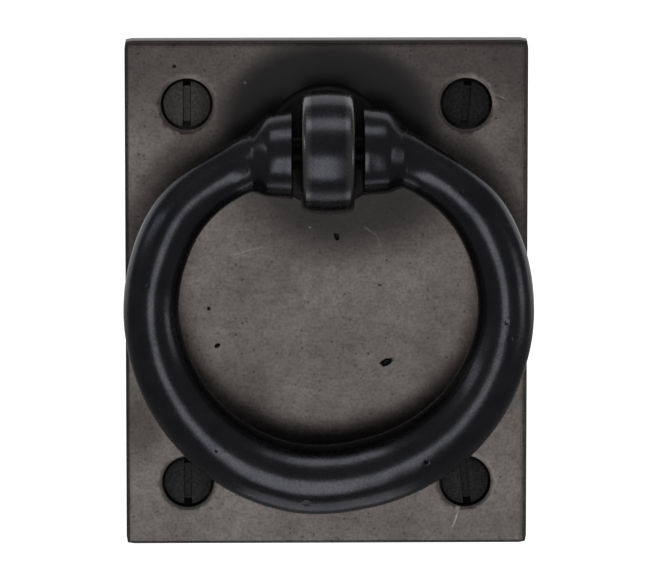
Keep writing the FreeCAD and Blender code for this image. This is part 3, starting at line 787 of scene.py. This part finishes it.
def blackSteel():
    # blackened screw steel: dull, with a rough tooth, worn to grey where the attribute rises, and painted
    # shade where it sinks, along the foot of each slot
    material, shader = newMaterial("blackened_screw_steel")
    tree = material.node_tree
    coords = addNode(tree, "ShaderNodeTexCoord").outputs["Object"]
    wearAndShade = addNode(tree, "ShaderNodeAttribute", {"attribute_name": "wearAndShade"}).outputs["Fac"]
    pitted = {"Vector": coords, "Scale": perMm / 0.4, "Detail": 4.0}
    tooth = addNode(tree, "ShaderNodeTexNoise", None, pitted).outputs[0]
    black = layColours(tree, linearColour("#262628"), [(tooth, 0.4, 0.7, 0, 1, "#3b3b3d")])
    grey = layColours(tree, linearColour("#55534f"), [(tooth, 0.4, 0.7, 0, 1, "#6e6b68")])
    worn = addNode(tree, "ShaderNodeMapRange", None, {0: wearAndShade, 1: 0, 2: 1, 3: 0, 4: 1}).outputs[0]
    steel = addNode(tree, "ShaderNodeMix", {"data_type": "RGBA"}, {0: worn, 6: black, 7: grey}).outputs[2]
    colour = layColours(tree, steel, [(wearAndShade, -1, 0, 1, 0, "#070707")])
    relief = {"Height": tooth, "Strength": 0.5, "Distance": 0.1 * metresPerMm}
    bump = addNode(tree, "ShaderNodeBump", None, relief).outputs[0]
    fillSockets(tree, shader, {"Base Color": colour, "Metallic": 0.7, "Roughness": 0.5, "Normal": bump})
    return material


def turnedSteel():
    # pin turned from steel and gone dark with oil, and coloured near black as painted shade in the gap
    # between the eye and the collars, with fine lathe lines round it
    material, shader = newMaterial("pin_steel_painted_shade")
    tree = material.node_tree
    coords = addNode(tree, "ShaderNodeTexCoord").outputs["Object"]
    rounds = {"Vector": coords, "Scale": (perMm / 0.15, perMm / 9, perMm / 9)}  # lines 0.15 mm apart
    along = addNode(tree, "ShaderNodeMapping", None, rounds).outputs[0]
    lines = {"Vector": along, "Scale": 1.0, "Detail": 2.0}
    lathe = addNode(tree, "ShaderNodeTexNoise", None, lines).outputs[0]
    colour = layColours(tree, linearColour("#0c0c0d"), [(lathe, 0, 1, 0, 1, "#171718")])
    fillSockets(tree, shader, {"Base Color": colour, "Metallic": 1.0, "Roughness": 0.35})
    return material


bronze = darkBronze()
buildRing(bronze)
buildLug(bronze)
buildPlate(plateBronze())
buildScrews(blackSteel())
bpy.data.objects["pivot_pin"].material_slots[0].material = turnedSteel()
print("pieces and materials made")

# Room: pale floor far below, white surroundings to the camera, dark studio with soft boxes for the gloss
studio = {
    "target": Vector((0, -0.004, 0)),
    "cameraDistance": 1.0,
    "cameraAzimuth": -1.0,
    "cameraElevation": 9.0,
    "lens": 362.8,
    "shiftX": 0.009,
    "floorLevel": -0.5,
    "floorSize": 20.0,
    "darkSide": 0.1,
    "lightBehind": 0.65,
    "behindFrom": 0.37,  # how far round to the back the room brightens
    "behindFull": 0.47,
    "aboveFrom": -0.3,
    "aboveFull": 0.0,
    "boxDistance": 1.6,
}
softBoxes = {  # azimuth, elevation, width and height in degrees, radiance
    "front_box": (-3, -20, 23, 42, 1.15),
    "top_box": (0, 66, 40, 22, 0.9),
    "bottom_box": (0, -95, 40, 40, 0.55),
    "right_strip": (70, -2, 20, 16, 0.8),
    "left_strip": (-68, 19, 36, 8, 0.8),
}


def aim(azimuth, elevation, distance):
    a, e = radians(azimuth), radians(elevation)
    return studio["target"] + distance * Vector((sin(a) * cos(e), -cos(a) * cos(e), sin(e)))


def pointAt(thing, place):
    thing.location = place
    thing.rotation_euler = (studio["target"] - place).to_track_quat("-Z", "Y").to_euler()


def hangSoftBoxes():
    for name, (azimuth, elevation, wide, high, radiance) in softBoxes.items():
        light = bpy.data.lights.new(name, "AREA")
        light.shape = "RECTANGLE"
        light.size = 2 * studio["boxDistance"] * tan(radians(wide / 2))
        light.size_y = 2 * studio["boxDistance"] * tan(radians(high / 2))
        light.energy = radiance * pi * light.size * light.size_y
        lamp = bpy.data.objects.new(name, light)
        bpy.context.scene.collection.objects.link(lamp)
        lamp.visible_camera = False
        pointAt(lamp, aim(azimuth, elevation, studio["boxDistance"]))


def paintRoom():
    world = bpy.data.worlds.new("studio")
    world.use_nodes = True
    tree = world.node_tree
    facing = addNode(tree, "ShaderNodeTexCoord").outputs["Generated"]
    parts = addNode(tree, "ShaderNodeSeparateXYZ", None, {0: facing}).outputs
    backward = {0: parts["Y"], 1: studio["behindFrom"], 2: studio["behindFull"], 3: 0, 4: 1}
    behind = addNode(tree, "ShaderNodeMapRange", None, backward).outputs[0]
    upward = {0: parts["Z"], 1: studio["aboveFrom"], 2: studio["aboveFull"], 3: 0, 4: 1}
    above = addNode(tree, "ShaderNodeMapRange", None, upward).outputs[0]
    both = addNode(tree, "ShaderNodeMath", {"operation": "MULTIPLY"}, {0: behind, 1: above}).outputs[0]
    levels = {0: both, 1: 0, 2: 1, 3: studio["darkSide"], 4: studio["lightBehind"]}
    bright = addNode(tree, "ShaderNodeMapRange", None, levels).outputs[0]
    seen = addNode(tree, "ShaderNodeLightPath").outputs["Is Camera Ray"]
    strength = addNode(tree, "ShaderNodeMath", {"operation": "MAXIMUM"}, {0: bright, 1: seen}).outputs[0]
    fillSockets(tree, tree.nodes["Background"], {"Color": (1, 1, 1, 1), "Strength": strength})
    bpy.context.scene.world = world


def layFloor():
    bpy.ops.mesh.primitive_plane_add(size=studio["floorSize"], location=(0, 0, studio["floorLevel"]))
    floor = bpy.context.object
    floor.name = "pale_floor"
    material, shader = newMaterial("pale_floor")
    pale = {"Base Color": linearColour("#f4f4f4"), "Emission Color": (1, 1, 1, 1), "Emission Strength": 1.0}
    fillSockets(material.node_tree, shader, pale)
    floor.data.materials.append(material)
    floor.visible_glossy = False


def setCamera():
    scene = bpy.context.scene
    camera = bpy.data.cameras.new("photo_camera")
    camera.lens = studio["lens"]
    camera.shift_x = studio["shiftX"]
    view = bpy.data.objects.new("photo_camera", camera)
    scene.collection.objects.link(view)
    pointAt(view, aim(studio["cameraAzimuth"], studio["cameraElevation"], studio["cameraDistance"]))
    scene.camera = view
    scene.view_settings.view_transform = "Standard"


hangSoftBoxes()
paintRoom()
layFloor()
setCamera()
print("studio set")
